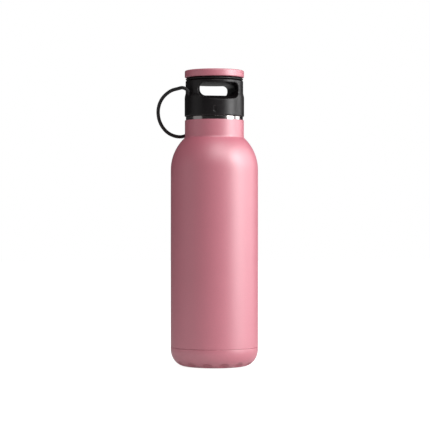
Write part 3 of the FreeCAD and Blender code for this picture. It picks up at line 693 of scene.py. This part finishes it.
def fromCamera(azimuth, elevation, distance):
    # Place at an angle right of the camera's own direction, above the level, that far from the axis.
    turn = math.radians(studio["azimuth"] + azimuth)
    rise = math.radians(elevation)
    level = math.cos(rise)
    return Vector((math.sin(turn) * level, -math.cos(turn) * level, math.sin(rise))) * distance


def lookAt(thing, target):
    thing.rotation_euler = (target - thing.location).to_track_quat("-Z", "Y").to_euler()


floorSheet = dict(reach=3.0, squares=30, below=0.0002, glow=0.90, bounce=0.22, bounceFull=0.10,
                  bounceGone=0.45, colour=(0.34, 0.34, 0.34), drift=(0.36, 0.36, 0.36), driftSize=60,
                  roughness=0.9, specular=0.1)


def makeFloor():
    # One large flat sheet just under the base. It glows for the lens, and throws light upwards only
    # near the object.
    count = floorSheet["squares"]
    across = np.linspace(-floorSheet["reach"], floorSheet["reach"], count + 1)
    x, y = np.meshgrid(across, across, indexing="ij")
    points = np.stack([x, y, np.full_like(x, -floorSheet["below"])], axis=-1).reshape(-1, 3) / mm
    i, j = np.meshgrid(np.arange(count), np.arange(count), indexing="ij")
    here, there = i * (count + 1) + j, (i + 1) * (count + 1) + j
    faces = np.stack([here, there, there + 1, here + 1], axis=-1)
    floor = meshPiece("paleFloor", points, faces.reshape(-1, 4))
    finish = Finish("paleFloor")
    drift = finish.between(finish.noise(floorSheet["driftSize"], 2), 0, 1)
    finish.join(finish.colours(drift, floorSheet["colour"], floorSheet["drift"]),
                finish.shader.inputs["Base Color"])
    finish.shader.inputs["Roughness"].default_value = floorSheet["roughness"]
    finish.shader.inputs["Specular IOR Level"].default_value = floorSheet["specular"]
    finish.shader.inputs["Emission Color"].default_value = (1, 1, 1, 1)
    far = finish.add("ShaderNodeVectorMath", operation="LENGTH")
    finish.join(finish.place, far.inputs[0])
    near = finish.between(far.outputs["Value"], floorSheet["bounce"], 0, floorSheet["bounceFull"],
                          floorSheet["bounceGone"])
    seen = finish.add("ShaderNodeMapRange")
    finish.join(finish.add("ShaderNodeLightPath").outputs["Is Camera Ray"], seen.inputs["Value"])
    finish.join(near, seen.inputs["To Min"])
    seen.inputs["To Max"].default_value = floorSheet["glow"]
    finish.join(seen.outputs["Result"], finish.shader.inputs["Emission Strength"])
    floor.data.materials.append(finish.material)


def makeWorld():
    # The lens sees a white backdrop, matt surfaces a soft room, and glossy ones a dark room with lamps.
    world = bpy.data.worlds.new("studioRoom")
    bpy.context.scene.world = world
    world.use_nodes = True
    nodes, links = world.node_tree.nodes, world.node_tree.links
    back = nodes["Background"]
    back.inputs["Color"].default_value = (1, 1, 1, 1)
    ray = nodes.new("ShaderNodeLightPath")
    room = nodes.new("ShaderNodeMapRange")
    room.inputs["To Min"].default_value = studio["roomDiffuse"]
    room.inputs["To Max"].default_value = studio["roomGloss"]
    links.new(ray.outputs["Is Glossy Ray"], room.inputs["Value"])
    level = nodes.new("ShaderNodeMapRange")
    level.inputs["To Max"].default_value = 1.0
    links.new(ray.outputs["Is Camera Ray"], level.inputs["Value"])
    links.new(room.outputs["Result"], level.inputs["To Min"])
    links.new(level.outputs["Result"], back.inputs["Strength"])


def makeLamp(name, look):
    lamp = bpy.data.lights.new(name, "AREA")
    lamp.shape = "RECTANGLE"
    lamp.size, lamp.size_y = look["size"]
    lamp.energy = look["power"]
    thing = linked(name, lamp)
    thing.location = fromCamera(look["azimuth"], look["elevation"], look["distance"]) + aim
    lookAt(thing, aim)


def makeCamera():
    # Level, and moved a little aside so that the bottle stands just off the frame's middle.
    camera = linked("camera", bpy.data.cameras.new("camera"))
    camera.data.lens = studio["lens"]
    camera.data.sensor_width = studio["sensor"]
    turn = math.radians(studio["azimuth"])
    aside = Vector((math.cos(turn), math.sin(turn), 0)) * studio["aside"]
    up = Vector((0, 0, studio["height"]))
    camera.location = fromCamera(0, 0, studio["distance"]) + aside + up
    lookAt(camera, aside + up)
    bpy.context.scene.camera = camera


makeFloor()
makeWorld()
for name, look in lamps.items():
    makeLamp(name, look)
makeCamera()
bpy.context.scene.view_settings.view_transform = "Standard"
print("stage, light and camera ready")
